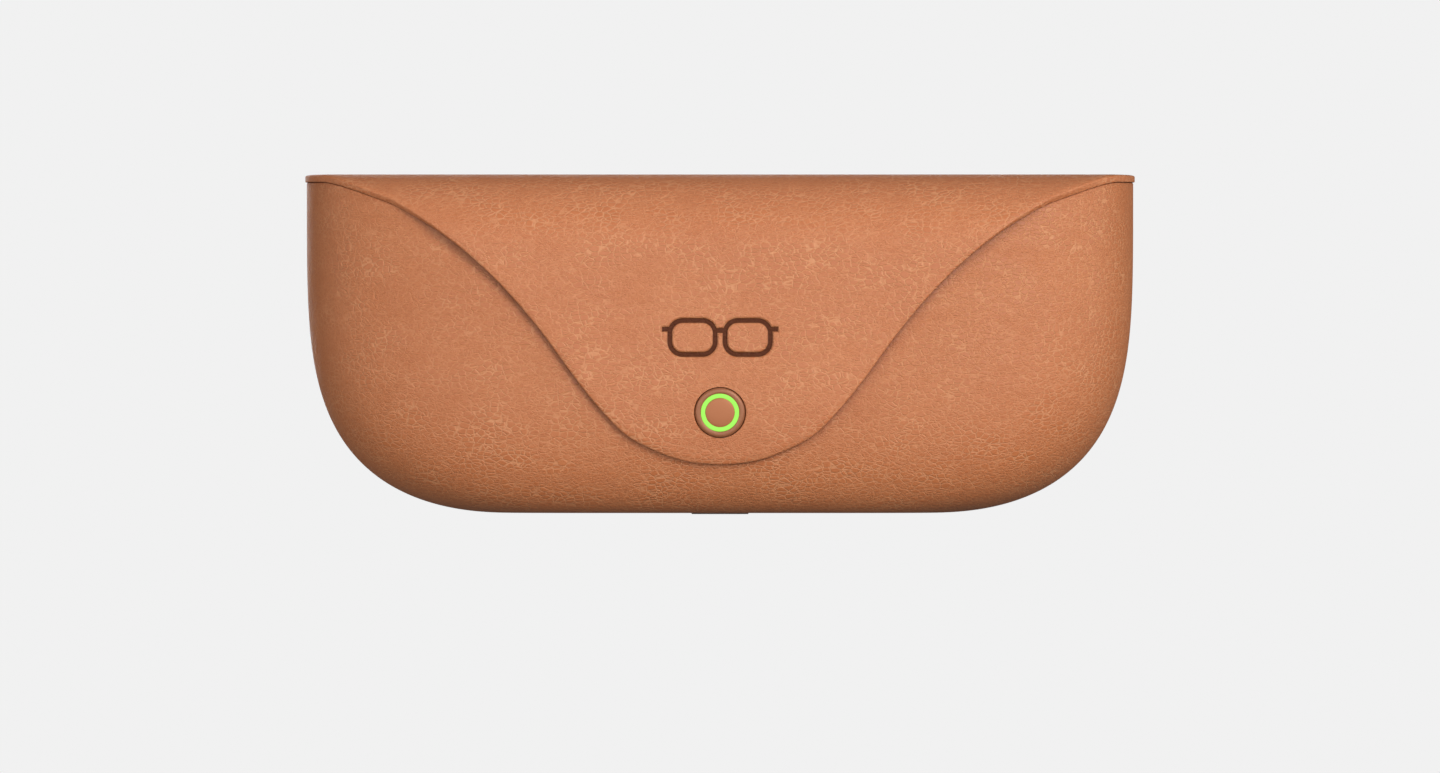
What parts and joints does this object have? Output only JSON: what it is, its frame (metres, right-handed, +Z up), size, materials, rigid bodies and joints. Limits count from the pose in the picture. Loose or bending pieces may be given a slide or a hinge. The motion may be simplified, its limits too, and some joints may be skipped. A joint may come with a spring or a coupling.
{
  "type": "smart glasses charging case",
  "caption": "Leather-covered charging case for smart glasses: a flap with a lit closure stud folds over a lined pocket with a contact dock.",
  "frame": {"origin": "centre of the case's footprint at its lowest point, the lip of the port surround", "axes": "+Z up, +X to the viewer's right along the case's length, -Y towards the front flap and stud"},
  "size_m": [0.162, 0.0524, 0.0662],
  "materials": {
    "tan_leather": "pebble-grained, semi-matte",
    "shell_plastic": "moulded, matte",
    "tray_plastic": "moulded, matte",
    "pocket_suede": "brushed microsuede",
    "trim_plastic": "fine texture",
    "stiffener_sheet": "smooth sheet",
    "steel_parts": "brushed",
    "magnet_nickel": "nickel plated",
    "tan_anodised": "bead-blasted, tan anodised",
    "light_guide": "translucent, lit green",
    "circuit_board": "solder mask",
    "chip_plastic": "moulded",
    "cell_foil": "foil pouch",
    "foam_rubber": "foam",
    "contact_gold": "gold plated",
    "dock_plastic": "satin",
    "flex_film": "polyimide film",
    "wire_rubber": "silicone sheath"
  },
  "bodies": {
    "case_body": {"body_leather": "tan_leather", "body_shell": "shell_plastic", "pocket_tray": "tray_plastic", "pocket_lining": "pocket_suede", "rim_trim": "trim_plastic", "hinge_strip": "tan_leather", "tray_screws": "steel_parts", "stud_bezel": "tan_anodised", "light_ring": "light_guide", "stud_cap": "tan_anodised", "closure_magnet": "magnet_nickel", "led_board": "circuit_board", "status_leds": "light_guide", "dock_body": "dock_plastic", "contact_block": "dock_plastic", "contact_barrels": "contact_gold", "dock_flex": "flex_film", "main_board": "circuit_board", "board_screws": "steel_parts", "shield_can": "steel_parts", "board_chips": "chip_plastic", "board_sockets": "chip_plastic", "battery_cell": "cell_foil", "battery_pad": "foam_rubber", "battery_protection_board": "circuit_board", "battery_leads": "wire_rubber", "port_surround": "trim_plastic", "usb_shell": "steel_parts", "usb_tongue": "chip_plastic", "button_bezel": "tan_anodised", "switch_body": "steel_parts", "button_board": "circuit_board", "button_flex": "flex_film"},
    "flap": {"flap_leather": "tan_leather", "flap_stiffener": "stiffener_sheet", "flap_lining": "pocket_suede", "keeper_ring": "steel_parts", "sense_magnet": "magnet_nickel"},
    "pairing_button": {"button_cap": "tan_anodised", "switch_plunger": "chip_plastic"},
    "contact_pin_1": {"contact_pin_1": "contact_gold"},
    "contact_pin_2": {"contact_pin_2": "contact_gold"},
    "contact_pin_3": {"contact_pin_3": "contact_gold"},
    "contact_pin_4": {"contact_pin_4": "contact_gold"}
  },
  "joints": [
    {"name": "flap_fold", "type": "hinge", "parent": "case_body", "child": "flap", "pos_m": [0, 0.0254, 0.0655], "axis": [-1, 0, 0], "range_deg": [0, 120], "deforming": ["hinge_strip"]},
    {"name": "button_press", "type": "slide", "parent": "case_body", "child": "pairing_button", "axis": [0, -1, 0], "range_m": [0, 0.0003], "stiffness_N_per_m": 2500, "springref_m": -0.0002},
    {"name": "contact_1_press", "type": "slide", "parent": "case_body", "child": "contact_pin_1", "axis": [0, 1, 0], "range_m": [0, 0.0008], "stiffness_N_per_m": 400, "springref_m": -0.0005},
    {"name": "contact_2_press", "type": "slide", "parent": "case_body", "child": "contact_pin_2", "axis": [0, 1, 0], "range_m": [0, 0.0008], "stiffness_N_per_m": 400, "springref_m": -0.0005},
    {"name": "contact_3_press", "type": "slide", "parent": "case_body", "child": "contact_pin_3", "axis": [0, 1, 0], "range_m": [0, 0.0008], "stiffness_N_per_m": 400, "springref_m": -0.0005},
    {"name": "contact_4_press", "type": "slide", "parent": "case_body", "child": "contact_pin_4", "axis": [0, 1, 0], "range_m": [0, 0.0008], "stiffness_N_per_m": 400, "springref_m": -0.0005}
  ]
}
